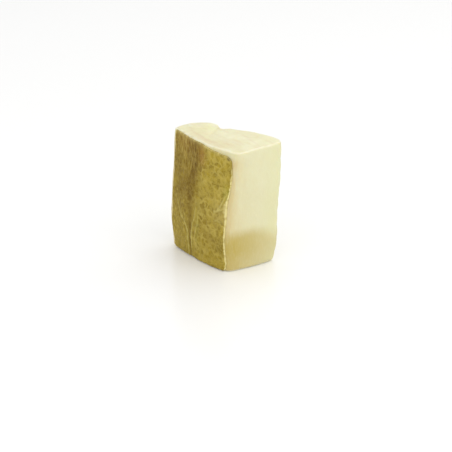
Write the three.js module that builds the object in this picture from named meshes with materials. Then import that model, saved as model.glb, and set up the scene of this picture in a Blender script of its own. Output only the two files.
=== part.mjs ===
// A block of salted, dried cod: a piece cut straight across the loin, standing on its lower cut face.
// It is two solids: the flesh, and the skin that still lies on the loin's flat side.
// Millimetres, +Z up along the fish, origin at the centre of the base. The skin faces -Y,
// the thick edge of the loin +X, the thin edge -X and the side that lay on the backbone +Y.

import * as THREE from "three";

// The loin's section at even steps of the height, from the lower cut to the upper one, about an
// upright axis inside it
const height = 74;
const thinEdgeX = [-27.3, -28.3, -27.9, -27.0, -26.3]; // skin corner of the thin edge
const thickEdgeX = [24.0, 24.5, 25.4, 28.7, 29.9]; // skin corner of the thick edge
const farEdgeX = [28.4, 29.8, 30.0, 28.7, 29.4, 30.4, 30.7, 30.8, 30.6]; // its backbone side's corner
const skinSideY = [-18.4, -19.2, -18.8, -17.6, -16.8];
const backSideY = [13.8, 15.1, 15.8, 16.6, 16.4]; // the backbone side at the thick edge
const skinBulge = 2.1; // crown of the skin side across its width
const backBulge = 0.7; // crown of the other sides

// The corners of the section, anticlockwise from the thin edge's skin corner: their places as shares
// of the skin's width and of the thickness, and how far from each the rounding starts. The third
// corner stands at farEdgeX instead.
const corners = [
  { across: 0, deep: 0, round: 2.2 },
  { across: 1, deep: 0, round: 4.2 },
  { across: 1, deep: 1, round: 4.2 },
  { across: 0.82, deep: 1, round: 5 },
  { across: 0.31, deep: 0.62, round: 2.7 },
  { across: 0.18, deep: 0.65, round: 3.4 },
  { across: 0, deep: 0.34, round: 3.6 },
];
const thinSkin = 0;
const thickSkin = 1;
const thickBack = 2;
const notch = 4; // where the septum between the two muscles reaches the backbone side
const sideSteps = [24, 12, 3, 12, 3, 6, 4]; // mesh steps along the side that follows each corner
const cornerSteps = 4;

// The upper and lower cut faces
const edgeRound = 1.4; // rounding of the flesh along both cuts
const edgeSteps = 3;
const wallSteps = 16;
const capRings = 12;
const thinLobe = { x: -15, y: -3, rise: 1.1, reach: 11 }; // the muscle on the thin side of the septum
const thickLobe = { x: 12, y: 0, rise: 0.7, reach: 16 }; // the large muscle on the thick side
const septum = { skinX: 1, backX: -8, depth: 1.0, reach: 2.8 }; // the groove between the two lobes
const skinDip = { x: 6, y: -19, depth: 0.6, reach: 15 }; // where the cut sinks towards the skin

// The lateral line, a shallow furrow down the skin side
const furrow = { topX: 1.5, baseX: -5.5, depth: 0.6, reach: 3.4 };

// Slow unevenness of the flesh: waves of that size, their turn in radians per millimetre along each axis
const swells = [
  { size: 0.2, x: 0.16, y: 0, z: 0.09, phase: 0.6 },
  { size: 0.16, x: 0, y: 0.21, z: -0.13, phase: 2.1 },
  { size: 0.1, x: 0.3, y: 0, z: 0.27, phase: 4 },
];

// The skin
const skinThickness = 0.8;
const skinGap = 0.36; // clearance between the skin and the flesh
const skinSetBack = { base: 0.5, thin: 3.8, thick: 2.4 }; // flesh left bare along each edge
const skinTopSetBack = { thin: 0.4, thick: 2.6 }; // the same below the upper cut, at either end
const skinCorner = { topThick: 3.2, topThin: 0.6, base: 1.0 }; // corner radii of the skin's outline
const skinEdgeWave = { size: 0.35, thinTurn: 0.31, thickTurn: 0.24 }; // turns in radians per millimetre
const skinColumns = 24;
const skinRows = 26;

const bump = (distance, reach) => Math.exp(-((distance / reach) ** 2));

// A smooth curve through values at even steps of the height, read at a share of the height.
function profile(values) {
  const steps = values.map((_, i) => i / (values.length - 1));
  const curve = new THREE.CubicInterpolant(steps, values, 1);
  return (share) => curve.evaluate(THREE.MathUtils.clamp(share, 0, 1))[0];
}

const thinEdgeAt = profile(thinEdgeX);
const thickEdgeAt = profile(thickEdgeX);
const farEdgeAt = profile(farEdgeX);
const skinSideAt = profile(skinSideY);
const backSideAt = profile(backSideY);

function unevenness(x, y, z) {
  return swells.reduce((sum, swell) => {
    return sum + swell.size * Math.sin(swell.x * x + swell.y * y + swell.z * z + swell.phase);
  }, 0);
}

function cornerPoint(index, share) {
  const { across, deep } = corners[index];
  const far = index === thickBack ? farEdgeAt(share) : null;
  const along = THREE.MathUtils.lerp(thinEdgeAt(share), thickEdgeAt(share), across);
  return new THREE.Vector2(far ?? along, THREE.MathUtils.lerp(skinSideAt(share), backSideAt(share), deep));
}

function outwardOf(start, end) {
  return end.clone().sub(start).rotateAround(new THREE.Vector2(), -Math.PI / 2).normalize();
}

// A point on the side from one corner to the next, bowed outwards by `bulge`.
function sidePoint(start, end, along, bulge) {
  const point = start.clone().lerp(end, along);
  return point.addScaledVector(outwardOf(start, end), bulge * Math.sin(Math.PI * along));
}

// The plan outline of the flesh at a share of the height, as a closed ring of points.
function sectionRing(share) {
  const count = corners.length;
  const places = corners.map((_, i) => cornerPoint(i, share));
  const bulgeAfter = (i) => (i === thinSkin ? skinBulge : backBulge);
  const ring = [];
  for (let i = 0; i < count; i++) {
    const next = (i + 1) % count;
    const before = (i + count - 1) % count;
    const sideBefore = places[i].distanceTo(places[before]);
    const sideAfter = places[i].distanceTo(places[next]);
    const roundOut = corners[i].round / sideAfter;
    const roundNext = corners[next].round / sideAfter;
    const fillet = new THREE.QuadraticBezierCurve(
      sidePoint(places[before], places[i], 1 - corners[i].round / sideBefore, bulgeAfter(before)),
      places[i],
      sidePoint(places[i], places[next], roundOut, bulgeAfter(i)),
    );
    for (let step = 0; step < cornerSteps; step++) {
      ring.push(fillet.getPoint(step / cornerSteps));
    }
    for (let step = 0; step < sideSteps[i]; step++) {
      const along = roundOut + ((1 - roundNext - roundOut) * step) / sideSteps[i];
      ring.push(sidePoint(places[i], places[next], along, bulgeAfter(i)));
    }
  }
  return ring;
}

// How deep the lateral line presses into the skin side at a place on it.
function furrowDepth(x, share) {
  const lineX = THREE.MathUtils.lerp(furrow.baseX, furrow.topX, share);
  return furrow.depth * bump(x - lineX, furrow.reach);
}

// The upper cut: two muscle lobes with the septum as a groove between them.
function cutRelief(x, y) {
  const notchY = cornerPoint(notch, 1).y;
  const across = THREE.MathUtils.clamp((y - skinSideAt(1)) / (notchY - skinSideAt(1)), 0, 1);
  const septumX = THREE.MathUtils.lerp(septum.skinX, septum.backX, across);
  const domes = [thinLobe, thickLobe].map((lobe) => {
    return lobe.rise * bump(Math.hypot(x - lobe.x, y - lobe.y), lobe.reach);
  });
  const groove = septum.depth * across * bump(x - septumX, septum.reach);
  const dip = skinDip.depth * bump(Math.hypot(x - skinDip.x, y - skinDip.y), skinDip.reach);
  return domes[0] + domes[1] - groove - dip;
}

// One level of the flesh: the section at that share of the height, moved in from its outline by `inset`.
function fleshRing({ share, inset }) {
  const ring = sectionRing(share);
  return ring.map((point, i) => {
    const before = ring[(i + ring.length - 1) % ring.length];
    const after = ring[(i + 1) % ring.length];
    const onSkinSide = i >= cornerSteps && i < cornerSteps + sideSteps[thinSkin];
    const dent = onSkinSide ? furrowDepth(point.x, share) : 0;
    const swell = unevenness(point.x, point.y, share * height) - dent - inset;
    const moved = point.clone().addScaledVector(outwardOf(before, after), swell);
    return new THREE.Vector3(moved.x, moved.y, share * (height + cutRelief(moved.x, moved.y)));
  });
}

// The levels of the flesh from the base up, each with the inset of its outline: the rounding of the
// lower cut, the walls, and the rounding of the upper cut.
function fleshLevels() {
  const roundShare = edgeRound / height;
  const rounding = Array.from({ length: edgeSteps }, (_, step) => {
    const angle = ((Math.PI / 2) * step) / edgeSteps;
    return { share: roundShare * (1 - Math.cos(angle)), inset: edgeRound * (1 - Math.sin(angle)) };
  });
  const walls = Array.from({ length: wallSteps + 1 }, (_, step) => {
    return { share: THREE.MathUtils.lerp(roundShare, 1 - roundShare, step / wallSteps), inset: 0 };
  });
  const upper = rounding.map(({ share, inset }) => ({ share: 1 - share, inset })).reverse();
  return [...rounding, ...walls, ...upper];
}

// Closes a stack of equal rings, from the lowest up to the middle of the upper cut, into one solid.
function ringSolid(rings, baseCentre, topCentre) {
  const count = rings[0].length;
  const baseIndex = rings.length * count;
  const topIndex = baseIndex + 1;
  const lastRing = (rings.length - 1) * count;
  const faces = [];
  for (let i = 0; i < count; i++) {
    const next = (i + 1) % count;
    for (let level = 0; level + 1 < rings.length; level++) {
      const lower = level * count;
      const upper = lower + count;
      faces.push(lower + i, lower + next, upper + next, lower + i, upper + next, upper + i);
    }
    faces.push(next, i, baseIndex, lastRing + i, lastRing + next, topIndex);
  }
  return indexedGeometry([...rings.flat(), baseCentre, topCentre], faces);
}

function indexedGeometry(points, faces) {
  const geometry = new THREE.BufferGeometry().setFromPoints(points);
  geometry.setIndex(faces);
  geometry.computeVertexNormals();
  return geometry;
}

function middleOf(ring) {
  return ring.reduce((sum, point) => sum.add(point), new THREE.Vector3()).divideScalar(ring.length);
}

function fleshGeometry() {
  const rings = fleshLevels().map(fleshRing);
  const rim = rings[rings.length - 1];
  const topCentre = middleOf(rim);
  topCentre.z = height + cutRelief(topCentre.x, topCentre.y);
  for (let step = 1; step < capRings; step++) {
    const ring = rim.map((point) => point.clone().lerp(topCentre, step / capRings));
    ring.forEach((point) => (point.z = height + cutRelief(point.x, point.y)));
    rings.push(ring);
  }
  return ringSolid(rings, middleOf(rings[0]), topCentre);
}

// A point above the skin side of the flesh, `along` from the thin edge to the thick one, `off` clear of it.
function skinPoint(along, share, off) {
  const start = cornerPoint(thinSkin, share);
  const end = cornerPoint(thickSkin, share);
  const point = sidePoint(start, end, along, skinBulge);
  const slope = (Math.PI * skinBulge * Math.cos(Math.PI * along)) / start.distanceTo(end);
  const outward = outwardOf(start, end).rotateAround(new THREE.Vector2(), -Math.atan(slope));
  const swell = unevenness(point.x, point.y, share * height) - furrowDepth(point.x, share) + off;
  point.addScaledVector(outward, swell);
  return new THREE.Vector3(point.x, point.y, share * (height + cutRelief(point.x, point.y)));
}

// How far a rounded corner of that radius takes the skin's edge back, at a distance from its end.
function cornerCut(distance, radius) {
  const within = THREE.MathUtils.clamp(distance, 0, radius);
  return radius - Math.sqrt(radius ** 2 - (radius - within) ** 2);
}

// Where the skin starts and ends at a share of the height, as shares of the skin side's width.
function skinSpan(share, fromTop) {
  const width = thickEdgeAt(share) - thinEdgeAt(share);
  const z = share * height;
  const baseCut = cornerCut(z - skinSetBack.base, skinCorner.base);
  const thinWave = skinEdgeWave.size * Math.sin(skinEdgeWave.thinTurn * z);
  const thickWave = -skinEdgeWave.size * Math.sin(skinEdgeWave.thickTurn * z);
  const thin = skinSetBack.thin + thinWave + cornerCut(fromTop, skinCorner.topThin) + baseCut;
  const thick = skinSetBack.thick + thickWave + cornerCut(fromTop, skinCorner.topThick) + baseCut;
  return { from: thin / width, to: 1 - thick / width };
}

// A sheet closed into one solid from two equal grids of points, its outer face and its inner one.
function sheetSolid(outer, inner) {
  const rows = outer.length;
  const columns = outer[0].length;
  const at = (row, column) => row * columns + column;
  const innerStart = rows * columns;
  const faces = [];
  const quad = (a, b, c, d) => faces.push(a, b, c, a, c, d);
  const wall = (a, b) => quad(a, b, b + innerStart, a + innerStart);
  for (let row = 0; row + 1 < rows; row++) {
    for (let column = 0; column + 1 < columns; column++) {
      const square = [at(row, column), at(row, column + 1), at(row + 1, column + 1), at(row + 1, column)];
      quad(...square);
      quad(...square.map((index) => index + innerStart).reverse());
    }
    wall(at(row, 0), at(row + 1, 0));
    wall(at(row + 1, columns - 1), at(row, columns - 1));
  }
  for (let column = 0; column + 1 < columns; column++) {
    wall(at(0, column + 1), at(0, column));
    wall(at(rows - 1, column), at(rows - 1, column + 1));
  }
  return indexedGeometry([...outer.flat(), ...inner.flat()], faces);
}

// The skin's grid of points at a distance off the flesh, with its rows closer together near both cuts.
function skinGrid(off) {
  const lowest = skinSetBack.base / height;
  return Array.from({ length: skinRows + 1 }, (_, row) => {
    const even = row / skinRows;
    const eased = (1 - Math.cos(Math.PI * even)) / 2;
    return Array.from({ length: skinColumns + 1 }, (_, column) => {
      const across = column / skinColumns;
      const topSetBack = THREE.MathUtils.lerp(skinTopSetBack.thin, skinTopSetBack.thick, across ** 2);
      const highest = 1 - topSetBack / height;
      const share = THREE.MathUtils.lerp(lowest, highest, (even + eased) / 2);
      const span = skinSpan(share, (highest - share) * height);
      return skinPoint(THREE.MathUtils.lerp(span.from, span.to, across), share, off);
    });
  });
}

function fleshMaterial() {
  return new THREE.MeshStandardMaterial({ name: "flesh", color: 0xe7e1b7, roughness: 0.55, metalness: 0 });
}

function skinMaterial() {
  return new THREE.MeshStandardMaterial({ name: "skin", color: 0x9d8940, roughness: 0.5, metalness: 0 });
}

function namedMesh(name, geometry, material) {
  const mesh = new THREE.Mesh(geometry, material);
  mesh.name = name;
  return mesh;
}

const skinSheet = sheetSolid(skinGrid(skinGap + skinThickness), skinGrid(skinGap));

const group = new THREE.Group();
group.add(namedMesh("flesh", fleshGeometry(), fleshMaterial()));
group.add(namedMesh("skin", skinSheet, skinMaterial()));

// The origin goes to the middle of the base.
const middle = new THREE.Box3().setFromObject(group).getCenter(new THREE.Vector3());
group.position.set(-middle.x, -middle.y, 0);

export default group;
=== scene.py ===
import math

import bpy
import numpy as np
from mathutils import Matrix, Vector, noise
from mathutils.bvhtree import BVHTree


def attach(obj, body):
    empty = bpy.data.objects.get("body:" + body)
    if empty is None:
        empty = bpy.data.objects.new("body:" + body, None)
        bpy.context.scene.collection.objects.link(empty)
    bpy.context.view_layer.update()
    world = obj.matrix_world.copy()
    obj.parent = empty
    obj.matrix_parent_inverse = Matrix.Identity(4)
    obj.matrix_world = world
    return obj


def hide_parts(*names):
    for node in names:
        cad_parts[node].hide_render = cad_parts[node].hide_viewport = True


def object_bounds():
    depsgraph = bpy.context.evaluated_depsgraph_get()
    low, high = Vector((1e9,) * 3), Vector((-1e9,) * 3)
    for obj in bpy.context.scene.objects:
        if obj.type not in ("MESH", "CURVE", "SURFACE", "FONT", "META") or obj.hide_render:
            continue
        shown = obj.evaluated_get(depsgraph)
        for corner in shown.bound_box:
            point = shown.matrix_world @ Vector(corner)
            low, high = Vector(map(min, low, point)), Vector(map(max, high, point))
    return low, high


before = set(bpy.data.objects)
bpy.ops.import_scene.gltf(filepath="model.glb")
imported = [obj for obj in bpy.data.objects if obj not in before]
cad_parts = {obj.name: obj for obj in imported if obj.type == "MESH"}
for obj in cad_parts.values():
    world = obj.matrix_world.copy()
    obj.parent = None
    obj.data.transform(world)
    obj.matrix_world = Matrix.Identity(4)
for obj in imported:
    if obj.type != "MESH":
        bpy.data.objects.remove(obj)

# a block of salted, dried cod: cream flesh with flake lines, and a sheet of netted skin on its flat side
# lengths in the settings are in millimetres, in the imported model's frame
mm = 0.001
cadLow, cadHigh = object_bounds()
blockHeight = cadHigh.z / mm
clearOfBlock = 0.02  # in metres: how far in front of the flat side the lines towards it start
print("frame loaded, block", [round(size / mm, 1) for size in cadHigh - cadLow], "mm")


def soft(low, high, values):  # 0 below low, 1 above high, smooth between
    share = np.clip((values - low) / (high - low), 0, 1)
    return share * share * (3 - 2 * share)


def hump(values, reach):  # 1 at zero, fading over that reach
    return np.exp(-(values / reach) ** 2)


def blend(low, high, share):
    return low + (high - low) * share


def cloud(places, size, seed, octaves=2):  # soft noise, about -1 to 1, with blobs of that size
    scaled = places / np.asarray(size, float) + seed * 19.7
    return np.array([noise.fractal(place, 1.0, 2.0, octaves) for place in scaled.tolist()])


def cells(places, size, seed):  # distance to the nearest wall of an irregular net, in cell sizes
    scaled = places / np.asarray(size, float) + seed * 19.7
    gaps = [noise.voronoi(place)[0] for place in scaled.tolist()]
    return np.array([gap[1] - gap[0] for gap in gaps])


def linear(red, green, blue):  # a screen colour, 0 to 255, as scene-linear values
    values = [channel / 255 for channel in (red, green, blue)]
    return [v / 12.92 if v <= 0.04045 else ((v + 0.055) / 1.055) ** 2.4 for v in values] + [1]


def flatSideY(tree, x, z):  # where a line into the block from its flat side first meets it
    start = Vector((x * mm, cadLow.y - clearOfBlock, z * mm))
    hit = tree.ray_cast(start, Vector((0, 1, 0)))[0]
    return hit.y / mm if hit else np.nan


def fromAbove(azimuth, elevation):  # unit vector towards a viewer at those degrees
    turn, rise = math.radians(azimuth), math.radians(elevation)
    return Vector((math.sin(turn) * math.cos(rise), -math.cos(turn) * math.cos(rise), math.sin(rise)))


cameraLook = {
    "azimuth": 50,
    "elevation": 24,
    "distance": 0.75,
    "lens": 102.1,
    "aim": (-1.0, 2.7, 16),  # from the middle of the base
}

studio = {
    "worldLight": 0.86,
    "floorRadius": 4.0,
    "floorColor": (252, 252, 251),
    "floorRoughness": 0.24,
    "lamps": [  # azimuth, elevation, distance, width, watts
        (95, 48, 1.3, 0.9, 3.6),
        (10, 40, 1.3, 1.0, 1.2),
        (200, 60, 1.3, 0.9, 1.6),
    ],
}


def makeCamera(look):
    camera = bpy.data.objects.new("camera", bpy.data.cameras.new("camera"))
    bpy.context.scene.collection.objects.link(camera)
    middle = (cadLow + cadHigh) / 2
    aim = Vector((middle.x, middle.y, cadLow.z)) + Vector(look["aim"]) * mm
    back = fromAbove(look["azimuth"], look["elevation"])
    camera.location = aim + back * look["distance"]
    camera.rotation_euler = back.to_track_quat("Z", "Y").to_euler()
    camera.data.lens = look["lens"]
    camera.data.sensor_width = 36
    camera.data.clip_start = 0.01
    camera.data.clip_end = 20
    bpy.context.scene.camera = camera


def makeStudio(look):
    scene = bpy.context.scene
    scene.view_settings.view_transform = "Standard"
    scene.world = bpy.data.worlds.new("studio")
    scene.world.use_nodes = True
    sky = scene.world.node_tree.nodes["Background"]
    sky.inputs["Color"].default_value = (1, 1, 1, 1)
    sky.inputs["Strength"].default_value = look["worldLight"]
    bpy.ops.mesh.primitive_circle_add(vertices=64, radius=look["floorRadius"], fill_type="NGON")
    floor = bpy.context.object
    floor.name = "floor"
    floor.location.z = cadLow.z
    paint = bpy.data.materials.new("floorPaint")
    paint.use_nodes = True
    surface = paint.node_tree.nodes["Principled BSDF"]
    surface.inputs["Base Color"].default_value = linear(*look["floorColor"])
    surface.inputs["Roughness"].default_value = look["floorRoughness"]
    floor.data.materials.append(paint)
    for azimuth, elevation, distance, width, watts in look["lamps"]:
        lamp = bpy.data.objects.new("lamp", bpy.data.lights.new("lamp", "AREA"))
        scene.collection.objects.link(lamp)
        back = fromAbove(azimuth, elevation)
        lamp.location = back * distance
        lamp.rotation_euler = back.to_track_quat("Z", "Y").to_euler()
        lamp.data.size = width
        lamp.data.energy = watts


makeCamera(cameraLook)
makeStudio(studio)
print("camera and studio ready")


def fineCopy(node, name, voxel, rounds):  # the CAD solid as an even, smoothed mesh
    rough = bpy.data.objects.new(name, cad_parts[node].data.copy())
    bpy.context.scene.collection.objects.link(rough)
    remesh = rough.modifiers.new("remesh", "REMESH")
    remesh.mode = "VOXEL"
    remesh.voxel_size = voxel * mm
    smooth = rough.modifiers.new("smooth", "SMOOTH")
    smooth.factor = 0.5
    smooth.iterations = rounds
    seen = rough.evaluated_get(bpy.context.evaluated_depsgraph_get())
    mesh = bpy.data.meshes.new_from_object(seen)
    rough.modifiers.clear()
    rough.data = mesh
    mesh.materials.clear()
    return rough


def readPlaces(mesh):  # vertices and their normals, the vertices in mm
    places = np.empty(len(mesh.vertices) * 3)
    normals = np.empty(len(mesh.vertices) * 3)
    mesh.vertices.foreach_get("co", places)
    mesh.vertices.foreach_get("normal", normals)
    return places.reshape(-1, 3) / mm, normals.reshape(-1, 3)


def writePlaces(mesh, places):
    mesh.vertices.foreach_set("co", (places * mm).ravel())
    mesh.update()


def paintMask(mesh, name, values):  # one number per vertex, which a material reads by name
    mask = mesh.attributes.new(name, "FLOAT", "POINT")
    mask.data.foreach_set("value", np.clip(values, 0, 1).astype(np.float32))


def shadeSmooth(mesh):
    mesh.polygons.foreach_set("use_smooth", np.ones(len(mesh.polygons), bool))
    mesh.update()


class Finish:  # a material built up coat by coat over one base colour
    def __init__(self, name, base):
        self.material = bpy.data.materials.new(name)
        self.material.use_nodes = True
        self.nodes = self.material.node_tree.nodes
        self.links = self.material.node_tree.links
        self.surface = self.nodes["Principled BSDF"]
        self.where = self.nodes.new("ShaderNodeTexCoord").outputs["Object"]
        self.colour = self.nodes.new("ShaderNodeRGB").outputs[0]
        self.colour.default_value = linear(*base)

    def mask(self, name):
        node = self.nodes.new("ShaderNodeAttribute")
        node.attribute_name = name
        return node.outputs["Fac"]

    def math(self, operation, first, second):
        node = self.nodes.new("ShaderNodeMath")
        node.operation = operation
        for socket, value in zip(node.inputs, (first, second)):
            if isinstance(value, (int, float)):
                socket.default_value = value
            else:
                self.links.new(value, socket)
        return node.outputs[0]

    # noise from 0 to 1, scale in mm along each axis
    def grain(self, scale, detail=3.0, low=0.3, high=0.7):
        stretch = self.nodes.new("ShaderNodeMapping")
        stretch.inputs["Scale"].default_value = [1 / (size * mm) for size in scale]
        self.links.new(self.where, stretch.inputs["Vector"])
        node = self.nodes.new("ShaderNodeTexNoise")
        node.inputs["Scale"].default_value = 1
        node.inputs["Detail"].default_value = detail
        self.links.new(stretch.outputs[0], node.inputs["Vector"])
        reach = self.nodes.new("ShaderNodeMapRange")
        reach.inputs["From Min"].default_value = low
        reach.inputs["From Max"].default_value = high
        self.links.new(node.outputs["Fac"], reach.inputs["Value"])
        return reach.outputs[0]

    def walls(self, size, reach):  # 1 on the walls of small irregular cells, 0 inside them
        shake = self.nodes.new("ShaderNodeTexNoise")
        shake.inputs["Scale"].default_value = 1 / (size * mm)
        self.links.new(self.where, shake.inputs["Vector"])
        move = self.nodes.new("ShaderNodeVectorMath")
        move.operation = "MULTIPLY_ADD"
        self.links.new(shake.outputs["Color"], move.inputs[0])
        move.inputs[1].default_value = [0.9 * size * mm] * 3
        self.links.new(self.where, move.inputs[2])
        node = self.nodes.new("ShaderNodeTexVoronoi")
        node.feature = "DISTANCE_TO_EDGE"
        node.inputs["Scale"].default_value = 1 / (size * mm)
        self.links.new(move.outputs[0], node.inputs["Vector"])
        fade = self.nodes.new("ShaderNodeMapRange")
        fade.interpolation_type = "SMOOTHSTEP"
        fade.inputs["From Max"].default_value = reach
        fade.inputs["To Min"].default_value = 1
        fade.inputs["To Max"].default_value = 0
        self.links.new(node.outputs["Distance"], fade.inputs["Value"])
        return fade.outputs[0]

    def coat(self, colour, amount, strength):  # lays a colour over what is there, by a mask
        node = self.nodes.new("ShaderNodeMix")
        node.data_type = "RGBA"
        self.links.new(self.math("MULTIPLY", amount, strength), node.inputs[0])
        self.links.new(self.colour, node.inputs[6])
        node.inputs[7].default_value = linear(*colour)
        self.colour = node.outputs[2]

    def bump(self, height, depth, under=None):  # depth in mm
        node = self.nodes.new("ShaderNodeBump")
        node.inputs["Distance"].default_value = depth * mm
        self.links.new(height, node.inputs["Height"])
        if under is not None:
            self.links.new(under, node.inputs["Normal"])
        return node.outputs[0]

    def finish(self, normal, roughness):
        self.links.new(self.colour, self.surface.inputs["Base Color"])
        self.links.new(normal, self.surface.inputs["Normal"])
        self.links.new(roughness, self.surface.inputs["Roughness"])
        return self.material


flesh = {
    "voxel": 0.44,
    "smoothRounds": 9,
    # the septum between the two muscles: where it meets the skin and the backbone side
    "septumSkinX": (-6.5, 0.5),  # at the base and at the upper cut
    "septumBackX": (-12.4, -9.9),
    "septumBackY": (4.2, 6.5),
    # each muscle is a stack of nested cones of flakes
    "thickMuscle": {"x": 6, "y": 10, "wide": 1.6, "deep": 1.0, "steep": 1.25, "flake": 8.4, "start": 0.1},
    "thinMuscle": {"x": -20, "y": 1, "wide": 1.0, "deep": 1.1, "steep": 1.2, "flake": 7.4, "start": 0.45},
    "flakeWander": 0.3,  # in flakes
    "lineWidth": 0.4,
    # depth of the flake lines, and how far each flake swells, on each side of the block
    "lineDepth": {"cut": 0.09, "back": 0.16, "thick": 0.01, "rest": 0.04},
    "flakeSwell": {"cut": 0.05, "back": 0.26, "thick": 0.02, "rest": 0.06},
    "flakeStep": {"cut": 0.12, "back": 0.12, "thick": 0.0, "rest": 0.03},
    "lumps": {"cut": 0.22, "back": 0.25, "thick": 0.07, "rest": 0.12},
    "amberShadeTop": 23.8,  # painted amber shade and warm bounced light lie on the flesh below this height
    # the flat side is measured between these, and outside them its last depth carries on
    "flatSideX": (-24, 23),
    "flatSideZ": (3, blockHeight - 5),
    # how strongly each colour is laid over the base, in this order
    "coats": {
        "flakeDarkAndShade": 0.75,
        "flakePale": 0.6,
        "green": 0.65,
        "pink": 0.7,
        "nearSkin": 0.88,
        "amberShade": 0.95,
        "paleAndHighlight": 0.6,
        "line": 0.7,
    },
    "colours": {
        "base": (230, 227, 188),
        "flakeDarkAndShade": (222, 212, 166),
        "flakePale": (245, 242, 218),
        "line": (214, 200, 150),
        "pink": (212, 186, 148),
        "nearSkin": (218, 198, 142),
        "green": (228, 228, 172),
        "amberShade": (192, 170, 82),
        "paleAndHighlight": (250, 247, 226),
    },
}


def coneFlakes(muscle, x, y, z):  # which flake a point is in: whole numbers are the lines between flakes
    radius = np.hypot((x - muscle["x"]) / muscle["wide"], (y - muscle["y"]) / muscle["deep"])
    return (z + muscle["steep"] * radius) / muscle["flake"] + muscle["start"]


def behindSkinSide(places, look):  # how far each point lies behind the flat side that carries the skin
    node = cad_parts["flesh"].data
    tree = BVHTree.FromPolygons([v.co for v in node.vertices], [p.vertices for p in node.polygons])
    columns = np.clip(places[:, 0], *look["flatSideX"]).tolist()
    levels = np.clip(places[:, 2], *look["flatSideZ"]).tolist()
    side = [flatSideY(tree, x, z) for x, z in zip(columns, levels)]
    return places[:, 1] - np.array(side)


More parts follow.
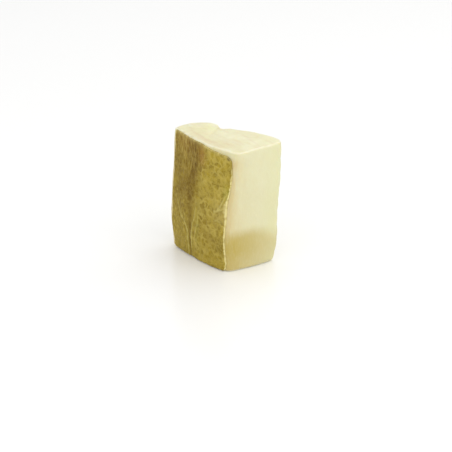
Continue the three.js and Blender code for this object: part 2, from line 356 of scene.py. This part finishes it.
def makeFlesh(look):
    piece = fineCopy("flesh", "cod_flesh", look["voxel"], look["smoothRounds"])
    places, normals = readPlaces(piece.data)
    x, y, z = places.T
    share = np.clip(z / blockHeight, 0, 1)
    behindSkin = behindSkinSide(places, look)

    # which side of the block each point is on
    sides = {}
    sides["cut"] = soft(0.55, 0.9, np.abs(normals[:, 2]))
    level = 1 - sides["cut"]
    sides["back"] = soft(0.3, 0.75, normals[:, 1]) * level
    sides["thick"] = soft(0.55, 0.9, normals[:, 0]) * level
    front = soft(0.5, 0.85, -normals[:, 1]) * level
    sides["rest"] = 1 - np.clip(sides["cut"] + sides["back"] + sides["thick"], 0, 1)
    underneath = soft(0.6, 0.9, -normals[:, 2])

    def bySide(amounts):  # a value for each point, mixed from the values of the sides
        return sum(amounts[name] * sides[name] for name in sides)

    skinX = blend(*look["septumSkinX"], share)
    backX = blend(*look["septumBackX"], share)
    backY = blend(*look["septumBackY"], share)
    across = np.clip(behindSkin / (behindSkin + np.maximum(backY - y, 0.01)), 0, 1)
    fromSeptum = x - blend(skinX, backX, across) + 0.9 * cloud(places, 8, 1)

    wander = look["flakeWander"] * cloud(places, (17, 17, 14), 2) + 0.07 * cloud(places, 3.6, 3)
    thickFlakes = coneFlakes(look["thickMuscle"], x, y, z)
    thinFlakes = coneFlakes(look["thinMuscle"], x, y, z)
    flakes = np.where(fromSeptum > 0, thickFlakes, thinFlakes) + wander
    inFlake = flakes - np.floor(flakes)
    fromLine = np.minimum(inFlake, 1 - inFlake) * look["thickMuscle"]["flake"]
    showing = soft(-0.35, 0.35, cloud(places, (9, 9, 7), 4))  # the lines come and go
    line = hump(fromLine, look["lineWidth"]) * blend(0.12, 1, showing)
    septum = hump(fromSeptum, 0.8) * soft(0.15, 0.6, across) * sides["cut"]

    relief = -line * bySide(look["lineDepth"])
    relief += (1 - (2 * inFlake - 1) ** 2 - 0.7) * bySide(look["flakeSwell"])
    relief += (inFlake - 0.5) * (1 - hump(fromLine, 0.8)) * showing * bySide(look["flakeStep"])
    relief -= 0.3 * septum
    lumps = cloud(places, (8, 8, 15), 5) + 0.3 * cloud(places, (2.4, 2.4, 6), 6)
    relief += lumps * bySide(look["lumps"])
    relief += 0.03 * cloud(places, (1.1, 1.1, 3.2), 7) * (1 - 0.5 * sides["thick"])
    relief *= 1 - underneath
    places += normals * relief[:, None]
    grown = np.maximum(np.abs(places).max(0) / (np.array(cadHigh) / mm), 1)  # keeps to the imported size
    places /= grown
    places[:, 2] = np.maximum(places[:, 2], 0)
    writePlaces(piece.data, places)

    number = np.floor(flakes)
    ownTone = np.sin(number * 2.4 + (fromSeptum > 0) * 1.7) * (1 - hump(fromLine, 1.2))
    tone = 0.5 * ownTone + 0.8 * cloud(places, (6, 6, 12), 8)
    shown = bySide({"cut": 0.6, "back": 0.75, "thick": 0.05, "rest": 0.5})
    darker = bySide({"cut": 0.2, "back": 0.3, "thick": 0, "rest": 0.1})
    # painted shade: the thick side is darker towards the bottom; the rest of this mask is flake tone
    darker = darker + 0.3 * soft(62, 22, z) * sides["thick"]
    paintMask(piece.data, "flakePale", soft(0.0, 1.0, tone) * shown)
    paintMask(piece.data, "flakeDarkAndShade", soft(0.0, 1.0, -tone) * shown + darker)
    lineTone = bySide({"cut": 0.36, "back": 0.7, "thick": 0.0, "rest": 0.3})
    paintMask(piece.data, "line", np.maximum(line * lineTone, 0.45 * septum))
    lateral = hump(x - skinX - 4, 14) * hump(behindSkin - 5, 4.5) * sides["cut"]
    streaks = soft(-0.9, 0.2, cloud(places, (11, 3.5, 6), 9))
    wisps = 0.35 * soft(0.1, 0.7, cloud(places, (11, 2.5, 12), 10)) * sides["cut"]
    paintMask(piece.data, "pink", lateral * streaks + wisps)
    besideSkin = np.exp(-np.maximum(behindSkin, 0) / 6.5) * (sides["thick"] + sides["rest"]) + 0.5 * front
    besideSkin *= blend(1.15, 0.85, share) * blend(1, 0.35, soft(66, 72, z))
    paintMask(piece.data, "nearSkin", besideSkin * soft(-2.0, 0.6, cloud(places, (4, 4, 13), 11)))
    onTop = hump(np.hypot(x + 12, y + 1), 5.5) + 0.6 * hump(np.hypot(x - 24, y - 13), 6)
    farEdge = 0.5 * soft(2, 15, y) * sides["thick"]
    tinge = 0.2 * soft(0, 0.7, cloud(places, 11, 12)) * sides["back"]
    upperRim = front * soft(66, 71, z)  # the narrow band of flesh above the skin
    paintMask(piece.data, "green", onTop * sides["cut"] + farEdge + tinge + 0.7 * upperRim)
    onThick = soft(0.05, 0.5, normals[:, 0]) * level
    # painted amber shade and warm bounced light near the base, strongest on the thick side and fading
    # towards its far edge
    amberShadeEdge = look["amberShadeTop"] - 0.012 * (y + 5) ** 2 * onThick + 1.5 * cloud(places, (9, 9, 9), 13)
    baseShade = soft(5, -5, z - amberShadeEdge) * blend(0.72, 1, soft(2, 14, z))
    baseShade *= 1 - 0.62 * np.clip((y + 14) / 30, 0, 1) * onThick
    paintMask(piece.data, "amberShade", baseShade * blend(0.42, 1, onThick))
    # painted highlight along the rounded edges of the upper cut; the band beside the skin and the milky
    # parts are pale flesh
    edgeHighlight = soft(0.2, 0.6, np.abs(normals[:, 2])) * (1 - soft(0.85, 0.98, np.abs(normals[:, 2])))
    skinRim = np.exp(-np.maximum(behindSkin, 0) / 1.2) * sides["cut"]
    milky = 0.18 * soft(6, 12, behindSkin) * sides["cut"] + 0.15 * upperRim
    palenessAndHighlight = (0.8 * edgeHighlight + 0.7 * skinRim) * soft(-0.9, 0.2, cloud(places, 4, 14)) + milky
    paintMask(piece.data, "paleAndHighlight", palenessAndHighlight * (1 - underneath))
    shadeSmooth(piece.data)
    return piece


def moistFlesh(look):
    colours = look["colours"]
    paint = Finish("moist cod flesh", colours["base"])
    for name, strength in look["coats"].items():
        paint.coat(colours[name], paint.mask(name), strength)
    paint.coat(colours["flakeDarkAndShade"], paint.grain((5, 5, 9), 5, 0.42, 0.7), 0.14)
    paint.coat(colours["line"], paint.grain((0.55, 0.55, 3.6), 3, 0.5, 0.8), 0.12)
    paint.coat(colours["paleAndHighlight"], paint.grain((0.5, 0.5, 3.0), 3, 0.52, 0.8), 0.15)
    surface = paint.surface
    surface.inputs["Subsurface Weight"].default_value = 0.3
    surface.inputs["Subsurface Radius"].default_value = (1.0, 0.8, 0.45)
    surface.inputs["Subsurface Scale"].default_value = 1.8 * mm
    surface.inputs["Specular IOR Level"].default_value = 0.3
    normal = paint.bump(paint.grain((0.32, 0.32, 1.9), 2), 0.05)
    normal = paint.bump(paint.grain((0.9, 0.9, 1.6), 3), 0.07, normal)
    roughness = paint.math("ADD", paint.math("MULTIPLY", paint.grain((2.5, 2.5, 5), 3), 0.2), 0.38)
    return paint.finish(normal, roughness)


fleshPiece = makeFlesh(flesh)
fleshPiece.data.materials.append(moistFlesh(flesh))
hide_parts("flesh")
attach(fleshPiece, "root")
print("flesh ready,", len(fleshPiece.data.polygons), "faces")


skin = {
    "spacing": 0.235,
    "thickness": 0.95,
    "straightAbove": 2.2,  # this near the upper cut the sheet no longer follows the flesh's rounded rim
    "edgeRound": 0.4,  # how far in from the edge the sheet starts to round off
    "edgeDrop": 0.4,  # and how far it drops there
    "backStep": 6,  # the hidden side has one line for this many on the outside
    "curl": 0.3,  # how far the edge lifts off the flesh in places
    "ragged": 0.22,
    "settleRounds": 10,  # softening of the flesh's bumps under the sheet
    "outlineStep": 0.2,
    "outlineRounds": 32,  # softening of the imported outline's corners
    "sharpCorner": 2.5,  # this near the upper thin corner the outline stays sharp
    # how far the sheet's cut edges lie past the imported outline: x and mm up for the upper edge,
    # height and mm along x for the other two
    "topTrim": [
        (-25, 0.1),
        (-21, -0.1),
        (-17, -0.6),
        (-6, -0.5),
        (2, -0.4),
        (7, -0.6),
        (17, -1.1),
        (26, -0.9),
    ],
    "thickTrim": [(0, 0), (46, 0), (56, -0.6), (64, -1.1), (75, -1.1)],
    "thinTrim": [(0, 0), (64, 0), (74, -0.6)],
    "trimReach": 4,  # how far into the sheet a trim pulls
    # the lateral line, dark, from the base up: height, x, half width
    "line": [
        (0, -7.9, 0.9),
        (14, -7.6, 1.0),
        (22, -7.2, 1.9),
        (34, -6.8, 3.0),
        (46, -5.0, 3.8),
        (56, -4.2, 4.4),
        (66, -3.0, 5.4),
        (75, -3.0, 5.6),
    ],
    # pale creases, each with its strength, then its path from the lower end up: x, height
    "creases": [
        (
            1.0,
            [
                (-9.6, -2),
                (-9.5, 10),
                (-9.6, 17.5),
                (-12.2, 21.4),
                (-15.2, 24.3),
                (-18, 29),
                (-20.6, 34.7),
                (-22.4, 40),
            ],
        ),
        (0.45, [(-9.2, 14), (-10.6, 19), (-13.2, 24), (-16.6, 30), (-18.8, 36)]),
        (1.0, [(-6.9, -2), (-6.7, 11), (-6.0, 18), (-4.7, 23.2), (-3.2, 27.6), (-2.6, 32.8), (-2.2, 41)]),
        (0.7, [(-4.2, 8), (-2.8, 14.7), (-1.7, 19.7), (-0.4, 24), (-0.1, 28), (0.6, 34), (2.2, 40)]),
        (0.9, [(12.8, 33.6), (14.7, 36), (17.6, 39.2), (20.1, 43.7), (22.6, 48.5), (24, 53)]),
        (1.0, [(12.4, 35.6), (14.7, 36.2), (18.4, 38.2), (21.7, 40.3), (27, 41.4)]),
        (0.6, [(14, 30), (16, 31.2), (18.6, 30.6), (21, 32)]),
    ],
    "creaseWidth": 0.5,
    "netCell": 3.6,
    "netWidth": 0.19,  # in cells
    "scaleCell": 1.05,
    # how high the raised marks stand and how deep the sunk ones lie
    "raised": {"net": 0.11, "streak": 0.08, "crease": 0.22, "swell": 0.12, "ripple": 0.06},
    "sunk": {"fold": 0.14, "line": 0.18, "hollow": 0.06, "groove": 0.12},
    # soft stains, and soft patches of painted shade: x, height, reach along x, reach up, strength
    "stainsAndShade": {
        "brown": [(9, 20, 8, 9, 0.5), (2, 33, 5, 10, 0.45)],
        # the olive patch at the lower right is painted shade
        "olive": [(20.5, 16, 6, 6.5, 1.2)],
        "tan": [(19, 36, 8, 10, 1)],
        "red": [(2.0, 66, 3.2, 6.5, 1), (-14, 70, 7, 6, 0.5)],
        "green": [(22.5, 48.5, 2.6, 4.5, 1), (-0.4, 24, 1.8, 12, 0.5)],
        # painted shadow in the gap at the upper right corner
        "edgeShade": [(23.2, 69.7, 1.1, 1.1, 1.8)],
    },
    # each coat over the base, in this order: its colour, the mask or texture it follows, its strength
    "coats": [
        ("yellow", "yellow", 0.6),
        ("olive", "olive", 0.6),
        ("tan", "tan", 0.62),
        ("yellow", "broadGrain", 0.45),
        ("olive", "fineGrain", 0.34),
        ("olive", "hollow", 0.55),
        ("green", "green", 0.5),
        ("net", "scales", 0.22),
        ("brown", "brown", 0.66),
        ("net", "net", 0.62),
        ("line", "lineDark", 0.66),
        ("red", "red", 0.4),
        ("streak", "streak", 0.8),
        ("crease", "crease", 0.76),
        ("edgeShade", "edgeShade", 0.8),
        ("rim", "rim", 0.9),
    ],
    "colours": {
        "base": (157, 133, 30),
        "yellow": (180, 155, 42),
        "olive": (112, 92, 8),
        "brown": (104, 74, 8),
        "line": (84, 50, 2),
        "net": (202, 182, 92),
        "crease": (204, 190, 110),
        "streak": (184, 159, 78),
        "red": (156, 92, 36),
        "green": (140, 150, 46),
        "edgeShade": (92, 72, 12),
        "tan": (196, 176, 112),
        "rim": (238, 226, 160),
    },
}


def skinOutline(look):  # the four edges of the skin, each a row of (x, height)
    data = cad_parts["skin"].data
    points = np.array([v.co for v in data.vertices]) / mm
    edges = np.array([e.vertices for e in data.edges])
    first, second = points[edges[:, 0]], points[edges[:, 1]]

    def ends(axis, level, other):  # where a straight cut across the sheet begins and ends
        crossing = (first[:, axis] - level) * (second[:, axis] - level) <= 0
        a, b = first[crossing], second[crossing]
        step = b[:, axis] - a[:, axis]
        flat = np.abs(step) < 1e-6
        share = np.where(flat, 0, (level - a[:, axis]) / np.where(flat, 1, step))
        found = a[:, other] + share * (b[:, other] - a[:, other])
        return found.min(), found.max()

    def corner(right, up):
        return points[np.argmax(points[:, 0] * right + points[:, 2] * up)][[0, 2]]

    def edge(start, end, axis):
        levels = np.linspace(start[axis], end[axis], 120)[1:-1]
        top = axis == 0 and start[1] > points[:, 2].mean()
        right = axis == 1 and start[0] > points[:, 0].mean()
        if axis == 0:
            row = [(level, ends(0, level, 2)[int(top)]) for level in levels]
        else:
            row = [(ends(2, level, 0)[int(right)], level) for level in levels]
        return np.array([start, *row, end])

    lowLeft, lowRight = corner(-1, -1), corner(1, -1)
    highLeft, highRight = corner(-1, 1), corner(1, 1)
    rows = [edge(lowLeft, lowRight, 0), edge(lowRight, highRight, 1)]
    rows += [edge(highLeft, highRight, 0)[::-1], edge(lowLeft, highLeft, 1)[::-1]]
    loop, marks = evenLoop(rows, look["outlineStep"])
    fromCorner = np.hypot(*(loop - highLeft).T)
    yields = 1 - 0.85 * hump(fromCorner, look["sharpCorner"])[:, None]
    for _ in range(look["outlineRounds"]):
        loop = loop + yields * (np.roll(loop, 1, 0) - 2 * loop + np.roll(loop, -1, 0)) / 4
    parts = [loop[start:end + 1] for start, end in zip(marks, marks[1:])]
    parts.append(np.concatenate([loop[marks[-1]:], loop[:1]]))
    low, right, high, left = parts
    return low, high[::-1], left[::-1], right


def evenLoop(rows, step):  # one closed row of points at an even spacing, and where each part starts
    loop, marks = [], []
    for row in rows:
        marks.append(sum(map(len, loop)))
        length = np.hypot(*np.diff(row, axis=0).T).sum()
        loop.append(along(row, np.linspace(0, 1, int(length / step) + 1)[:-1]))
    return np.concatenate(loop), marks


def along(row, share):  # a point at that share of a row's length
    steps = np.hypot(*np.diff(row, axis=0).T)
    reach = np.concatenate([[0], np.cumsum(steps)]) / steps.sum()
    return np.stack([np.interp(share, reach, row[:, 0]), np.interp(share, reach, row[:, 1])], -1)


def edgeSpread(length, spacing):  # shares from 0 to 1, closer together at both ends
    ends = np.array([0, 0.06, 0.15, 0.27, 0.42])
    middle = np.linspace(0.6, length - 0.6, int(length / spacing))
    return np.concatenate([ends, middle, (length - ends)[::-1]]) / length


def blur(grid, rounds):  # softens a grid of values
    for _ in range(rounds):
        padded = np.pad(grid, 1, mode="edge")
        grid = (padded[:-2, 1:-1] + padded[2:, 1:-1] + padded[1:-1, :-2] + padded[1:-1, 2:] + 4 * grid) / 8
    return grid


# distance from a row of joined lines, and the share of the row passed there
def fromStroke(points, x, z):
    nearest, passed = np.full(x.shape, 1e9), np.zeros(x.shape)
    for part, ((x0, z0), (x1, z1)) in enumerate(zip(points, points[1:])):
        dx, dz = x1 - x0, z1 - z0
        share = np.clip(((x - x0) * dx + (z - z0) * dz) / (dx * dx + dz * dz), 0, 1)
        away = np.hypot(x - x0 - share * dx, z - z0 - share * dz)
        passed = np.where(away < nearest, (part + share) / (len(points) - 1), passed)
        nearest = np.minimum(nearest, away)
    return nearest, passed


def trimAt(trim, places):  # a trim's value at each place along its edge
    return np.interp(places, *np.array(trim).T)


def makeSkin(look, under):
    low, high, left, right = skinOutline(look)
    width, tall = low[-1][0] - low[0][0], right[-1][1] - right[0][1]
    across, up = edgeSpread(width, look["spacing"]), edgeSpread(tall, look["spacing"])
    u, v = np.meshgrid(across, up)
    shareAcross, shareUp = u[..., None], v[..., None]

    # a sheet stretched between its four edges
    stretched = blend(along(low, across)[None], along(high, across)[None], shareUp)
    stretched = stretched + blend(along(left, up)[:, None], along(right, up)[:, None], shareAcross)
    corners = blend(blend(low[0], low[-1], shareAcross), blend(high[0], high[-1], shareAcross), shareUp)
    stretched = stretched - corners
    x, z = stretched[..., 0], stretched[..., 1]
    fromLeft, fromRight, fromLow, fromTop = u * width, (1 - u) * width, v * tall, (1 - v) * tall
    fromEdge = np.minimum.reduce([fromLeft, fromRight, fromLow, fromTop])
    z = z + trimAt(look["topTrim"], x) * np.exp(-fromTop / look["trimReach"])
    x = x + trimAt(look["thickTrim"], z) * np.exp(-fromRight / look["trimReach"])
    x = x + trimAt(look["thinTrim"], z) * np.exp(-fromLeft / look["trimReach"])
    flat = np.stack([x, np.zeros_like(x), z], -1).reshape(-1, 3)

    def field(size, seed, octaves=2):  # soft noise over the sheet
        return cloud(flat, size, seed, octaves).reshape(u.shape)

    def softPatches(name):  # the soft patches of that name together
        spots = look["stainsAndShade"][name]
        return sum(much * hump(x - left, wide) * hump(z - up, tall) for left, up, wide, tall, much in spots)

    nearEdge = np.exp(-fromEdge / 1.5)
    fromEnds = soft(0, 2, np.minimum(fromLow, fromTop) + 1)
    x = x + look["ragged"] * field((4, 4, 1.7), 21, 3) * nearEdge * fromEnds
    z = z + 0.5 * look["ragged"] * field((1.7, 4, 4), 22, 3) * np.exp(-fromTop / 1.5)

    # the flesh below, softened, carries the sheet
    tree = BVHTree.FromObject(under, bpy.context.evaluated_depsgraph_get())
    levels = np.minimum(z, blockHeight - look["straightAbove"])
    side = [flatSideY(tree, *place) for place in zip(x.ravel().tolist(), levels.ravel().tolist())]
    ground = blur(np.reshape(side, x.shape), look["settleRounds"])

    heights, middles, halves = np.array(look["line"]).T
    lineX = np.interp(z, heights, middles) + 0.4 * field(5, 23)
    line = hump(x - lineX, np.interp(z, heights, halves))
    leftPart = soft(4.0, -3.0, x - lineX)
    rightPart = 1 - leftPart

    shake = [1.2 * cloud(flat, 3.2, seed) + 0.5 * cloud(flat, 1.3, seed) for seed in (24, 25)]
    warped = flat + np.stack([shake[0], np.zeros(len(flat)), shake[1]], -1)
    walls = cells(warped, look["netCell"], 26).reshape(x.shape)
    patchy = soft(-0.6, 0.5, field(6, 28))
    threads = np.clip(1 - np.abs(field(2.3, 27, 3)) * 3.6, 0, 1) ** 1.4  # thin winding lines
    loops = hump(walls, look["netWidth"]) * (0.35 + 0.65 * patchy)
    net = np.maximum(loops, 0.7 * threads * (1.1 - patchy))
    net *= 0.35 + 0.65 * soft(-4, 1.5, x - lineX)
    # darker inside each loop
    hollow = (0.45 + 0.55 * soft(0.06, 0.4, walls)) * soft(-0.4, 0.5, field(2.8, 29, 3))

    mottle = field((1.0, 1, 2.1), 50, 3) * leftPart * (1 - 0.6 * hump(z - 50, 14))  # upright blotches
    net = np.maximum(net, blend(1.0, 0.7, soft(30, 45, z)) * soft(0, 0.55, mottle))
    hollow = np.maximum(hollow, soft(0, 0.55, -mottle))

    upperLeft = leftPart * soft(38, 66, z)
    ridges = np.clip(1 - np.abs(field((1.5, 1, 9), 30)) * 2.8, 0, 1) ** 1.2
    broken = 0.3 + 0.7 * soft(-0.5, 0.3, field((1.4, 1, 2.6), 51))
    streak = ridges * (0.1 + 0.9 * upperLeft) * broken

    crease, fold = np.zeros_like(x), np.zeros_like(x)
    shiftX = 0.4 * field(3.4, 32) + 0.2 * field(1.1, 47)
    shiftZ = 0.4 * field(3, 33)
    for strength, path in look["creases"]:
        away, passed = fromStroke(path, x + shiftX, z + shiftZ)
        tapered = soft(1.0, 0.55, passed) * soft(-0.02, 0.12, passed) * strength
        crease = np.maximum(crease, hump(away, look["creaseWidth"] * (0.55 + 0.6 * tapered)) * tapered)
        fold = np.maximum(fold, hump(away - 1.1, 0.55) * tapered)  # a shallow trough beside it, also darkened with painted shade
    crease *= 0.35 + 0.65 * soft(-0.6, 0.5, field(2.6, 34))

    roll = np.sqrt(np.clip(1 - (1 - np.clip(fromEdge / look["edgeRound"], 0, 1)) ** 2, 0, 1))
    curl = look["curl"] * np.clip(field(7, 35) + 0.1, 0, 1) * np.exp(-fromEdge / 1.1)
    raised, sunk = look["raised"], look["sunk"]
    relief = raised["net"] * net + raised["streak"] * streak + raised["crease"] * crease
    relief = relief - sunk["fold"] * fold - sunk["line"] * line - sunk["hollow"] * hollow
    relief += raised["swell"] * field(4.5, 36) + raised["ripple"] * field(1.5, 37, 3)
    relief -= sunk["groove"] * hump(fromEdge - 0.9, 0.5) * soft(0, 0.6, field(3, 38))
    lift = look["thickness"] + relief - look["edgeDrop"] * (1 - roll) + curl
    outerY = np.maximum(ground - lift, cadLow.y / mm)
    innerY = ground - 0.03 - 0.8 * curl

    topPale = np.exp(-fromTop / 0.9) * (0.34 + 0.2 * field(2, 39))
    # painted shadow in the upper right corner, and painted shade along the upper right edge
    edgeShade = softPatches("edgeShade")
    edgeShade += 0.4 * np.exp(-fromRight / 0.8) * soft(50, 64, z + 4 * field(4, 44))
    fading = soft(66, 56, z + 3 * field(4, 45)) * blend(0.5, 1, soft(-0.6, 0.2, field(2.5, 46)))
    rimWidth = (0.55 + 1.9 * hump(z - 39, 6)) * blend(0.5, 1.3, soft(-0.6, 0.6, field(2.2, 49)))
    sideRim = (1 - soft(0.1, 1, (fromRight + 0.2 * field(1.2, 43)) / rimWidth)) * fading
    sideRim = np.maximum(sideRim, 0.6 - 0.6 * soft(0.02, 0.3, fromLeft))
    brown = leftPart * (0.8 + 0.4 * field(7, 41)) * blend(0.1, 1, soft(12, 42, z)) * soft(-28, -20, x)
    brown += 0.45 * upperLeft * (1 - ridges)
    brown += softPatches("brown")
    lineAmount = blend(0.75, 1, soft(44, 54, z) + soft(26, 16, z))
    masks = {
        "net": net,
        # the fold part is painted shade in the trough beside each crease; the rest is the darker skin
        # inside each net loop
        "hollow": np.maximum(hollow * (0.7 + 0.3 * rightPart), 0.6 * fold),
        "streak": streak,
        "crease": crease,
        "lineDark": line * (0.8 + 0.25 * field(4, 40)) * lineAmount,
        "brown": brown,
        # its patch at the lower right is painted shade; the lower left part is the skin's own olive
        "olive": softPatches("olive") + 0.42 * leftPart * soft(40, 20, z),
        "tan": softPatches("tan") * (0.8 + 0.5 * field(4, 48)),
        "yellow": rightPart * soft(-0.5, 0.5, field(9, 42)) * soft(30, 50, z),
        "red": softPatches("red"),
        "green": softPatches("green"),
        "edgeShade": edgeShade,
        "rim": np.maximum(sideRim, topPale),
    }
    piece = sheetPiece("cod_skin", x, z, outerY, innerY, look["backStep"], masks)
    shadeSmooth(piece.data)
    return piece


def sheetPiece(name, x, z, outerY, innerY, backStep, masks):
    rows, columns = x.shape
    outer = np.stack([x, outerY, z], -1).reshape(-1, 3)
    rim = [(0, c) for c in range(columns - 1)] + [(r, columns - 1) for r in range(rows - 1)]
    rim += [(rows - 1, c) for c in range(columns - 1, 0, -1)] + [(r, 0) for r in range(rows - 1, 0, -1)]
    backRows = sorted({*range(0, rows, backStep), rows - 1})
    backColumns = sorted({*range(0, columns, backStep), columns - 1})
    backPlaces = rim + [(r, c) for r in backRows[1:-1] for c in backColumns[1:-1]]
    middle = [(x[p], 0.5 * (outerY[p] + innerY[p]), z[p]) for p in rim]
    backStart = len(outer) + len(middle)
    backIndex = {place: backStart + i for i, place in enumerate(backPlaces)}
    inner = [(x[p], innerY[p], z[p]) for p in backPlaces]
    points = np.concatenate([outer, middle, inner])

    def at(r, c):
        return r * columns + c

    faces = []
    for r in range(rows - 1):
        for c in range(columns - 1):
            faces.append((at(r, c), at(r, c + 1), at(r + 1, c + 1), at(r + 1, c)))
    for i, place in enumerate(rim):
        following = (i + 1) % len(rim)
        a, b = at(*place), at(*rim[following])
        m0, m1 = len(outer) + i, len(outer) + following
        faces.append((b, a, m0, m1))
        faces.append((m1, m0, backIndex[place], backIndex[rim[following]]))
    for r0, r1 in zip(backRows, backRows[1:]):
        for c0, c1 in zip(backColumns, backColumns[1:]):
            walk = [(r0, c) for c in range(c0, c1)] + [(r, c1) for r in range(r0, r1)]
            walk += [(r1, c) for c in range(c1, c0, -1)] + [(r, c0) for r in range(r1, r0, -1)]
            faces.append([backIndex[place] for place in reversed(walk) if place in backIndex])
    mesh = bpy.data.meshes.new(name)
    mesh.from_pydata((points * mm).tolist(), [], faces)
    mesh.validate()
    for mask, values in masks.items():
        shown = values.ravel()
        onRim = np.array([values[place] for place in rim])
        behind = np.array([values[place] for place in backPlaces])
        paintMask(mesh, mask, np.concatenate([shown, onRim, behind]))
    piece = bpy.data.objects.new(name, mesh)
    bpy.context.scene.collection.objects.link(piece)
    return piece


def curedSkin(look):
    colours = look["colours"]
    paint = Finish("cured cod skin", colours["base"])
    textures = {
        "scales": paint.walls(look["scaleCell"], 0.28),
        "broadGrain": paint.grain((2.8, 2.8, 3.6), 4, 0.48, 0.62),
        "fineGrain": paint.grain((2.4, 2.4, 3.0), 4, 0.48, 0.64),
    }
    for colour, place, strength in look["coats"]:
        amount = textures[place] if place in textures else paint.mask(place)
        paint.coat(colours[colour], amount, strength)
    paint.surface.inputs["Specular IOR Level"].default_value = 0.2
    paint.surface.inputs["Specular Tint"].default_value = (1.0, 0.86, 0.55, 1)
    normal = paint.bump(textures["scales"], 0.05)
    normal = paint.bump(paint.grain((0.45, 0.45, 0.7), 3), 0.1, normal)
    roughness = paint.math("ADD", paint.math("MULTIPLY", paint.grain((1.2, 1.2, 2), 3), 0.22), 0.42)
    return paint.finish(normal, roughness)


skinPiece = makeSkin(skin, fleshPiece)
skinPiece.data.materials.append(curedSkin(skin))
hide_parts("skin")
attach(skinPiece, "root")
print("skin ready,", len(skinPiece.data.polygons), "faces")
